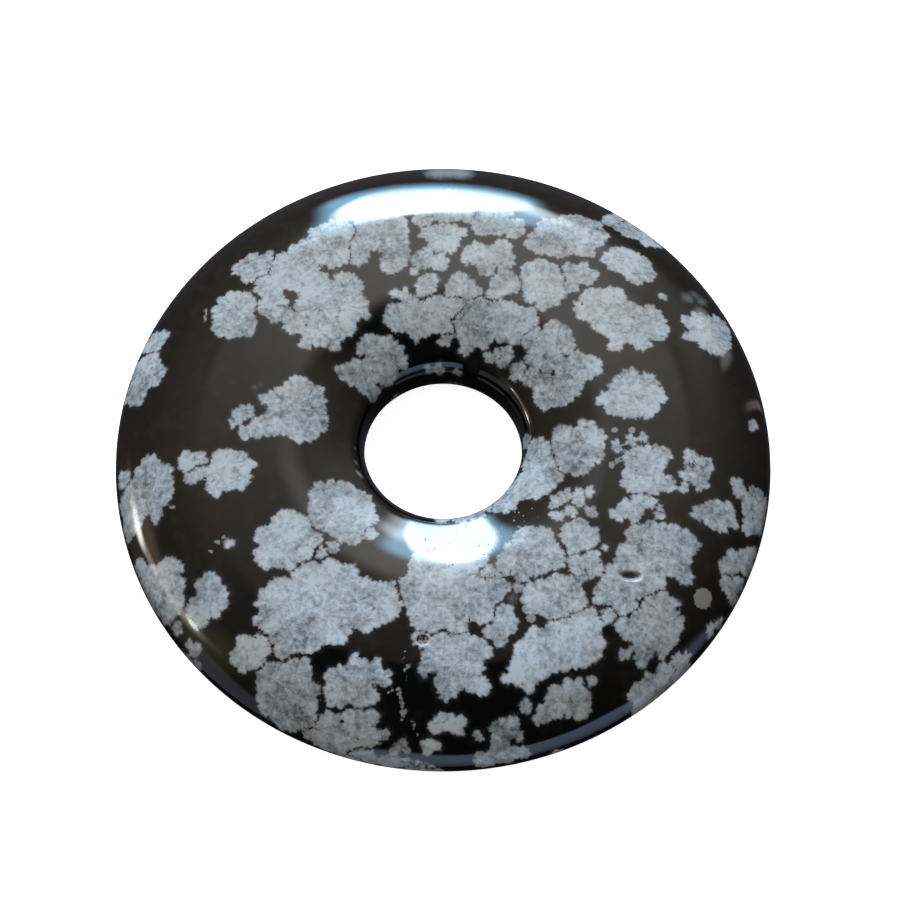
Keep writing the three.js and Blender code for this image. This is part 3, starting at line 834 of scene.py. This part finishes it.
for part in room_parts:
    bearing_of_middle, height_of_middle = (radians(angle) for angle in part["middle"])
    half_width, half_height = (radians(angle) for angle in part["half"])
    bearing = bearing_behind if part.get("behind") else bearing_ahead
    across = add(tree, "ShaderNodeMath", {0: bearing, 1: bearing_of_middle}, operation="SUBTRACT")
    over = add(tree, "ShaderNodeMath", {0: across, 1: part.get("lean", 0.0), 2: elevation},
               operation="MULTIPLY_ADD")
    over = add(tree, "ShaderNodeMath", {0: over, 1: height_of_middle}, operation="SUBTRACT")
    over_foot = add(tree, "ShaderNodeMath", {0: across, 1: part.get("foot_lean", 0.0), 2: elevation},
                    operation="MULTIPLY_ADD")
    across = add(tree, "ShaderNodeMath", {0: over, 1: part.get("slant", 0.0), 2: across},
                 operation="MULTIPLY_ADD")
    widening = add(tree, "ShaderNodeMath", {0: over, 1: part.get("taper", 0.0) / half_height, 2: 1.0},
                   operation="MULTIPLY_ADD")
    across = add(tree, "ShaderNodeMath", {0: across, 1: widening}, operation="MULTIPLY")
    powers = []
    for offset, half in ((across, half_width), (over, half_height)):
        ratio = add(tree, "ShaderNodeMath", {0: offset, 1: 1 / half}, operation="MULTIPLY")
        ratio = add(tree, "ShaderNodeMath", {0: ratio}, operation="ABSOLUTE")
        ratio = add(tree, "ShaderNodeMath", {0: ratio, 1: float(part["corner"])}, operation="POWER")
        powers.append(ratio)
    outwards = add(tree, "ShaderNodeMath", {0: powers[0], 1: powers[1]}, operation="ADD")
    outwards = add(tree, "ShaderNodeMath", {0: outwards, 1: 1 / part["corner"]}, operation="POWER")
    shown = add(tree, "ShaderNodeMapRange", {"Value": outwards, "From Min": 1 + part["edge"],
                                             "From Max": 1 - part["edge"]},
                interpolation_type="SMOOTHSTEP")
    if "foot" in part:
        fade = add(tree, "ShaderNodeMapRange", {"Value": over_foot, "From Min": radians(part["foot"][0]),
                                                "From Max": radians(part["foot"][1])},
                   interpolation_type="SMOOTHSTEP")
        shown = add(tree, "ShaderNodeMath", {0: shown, 1: fade}, operation="MULTIPLY")
    radiance = [part["radiance"] * level for level in part["tint"]]
    glow = add(tree, "ShaderNodeVectorMath", {0: shown, 1: radiance, 2: glow}, operation="MULTIPLY_ADD")
room_light = tree.nodes["Background"]
tree.links.new(glow.outputs[0], room_light.inputs["Color"])
pale_wall = add(tree, "ShaderNodeBackground", {"Color": linear("#FAFAFA"), "Strength": 1.0})
seen = add(tree, "ShaderNodeLightPath").outputs["Is Camera Ray"]
both = add(tree, "ShaderNodeMixShader", {0: seen, 1: room_light, 2: pale_wall})
tree.links.new(both.outputs[0], tree.nodes["World Output"].inputs["Surface"])
bpy.context.scene.view_settings.view_transform = "Standard"

# The camera
#
# Held close over the near side with a long lens, looking steeply down at the middle of the ring. The
# distance, the height in degrees and the pixels were fitted to the outlines of the rim and the hole.
camera_distance = 112.68 * MM
camera_height = radians(65.9)
IMAGE_SIZE = 900
FILM_WIDTH = 36
focal_pixels = 1839
middle_pixel = (443.1, 449.65)
camera_data = bpy.data.cameras.new("camera")
camera = bpy.data.objects.new("camera", camera_data)
bpy.context.collection.objects.link(camera)
camera.location = ring_middle + camera_distance * Vector((0, -cos(camera_height), sin(camera_height)))
camera.rotation_mode = "QUATERNION"
camera.rotation_quaternion = (ring_middle - camera.location).to_track_quat("-Z", "Y")
camera_data.sensor_width = FILM_WIDTH
camera_data.lens = FILM_WIDTH * focal_pixels / IMAGE_SIZE
camera_data.shift_x = (IMAGE_SIZE / 2 - middle_pixel[0]) / IMAGE_SIZE
camera_data.shift_y = (middle_pixel[1] - IMAGE_SIZE / 2) / IMAGE_SIZE
camera_data.clip_start = 1 * MM
bpy.context.scene.camera = camera
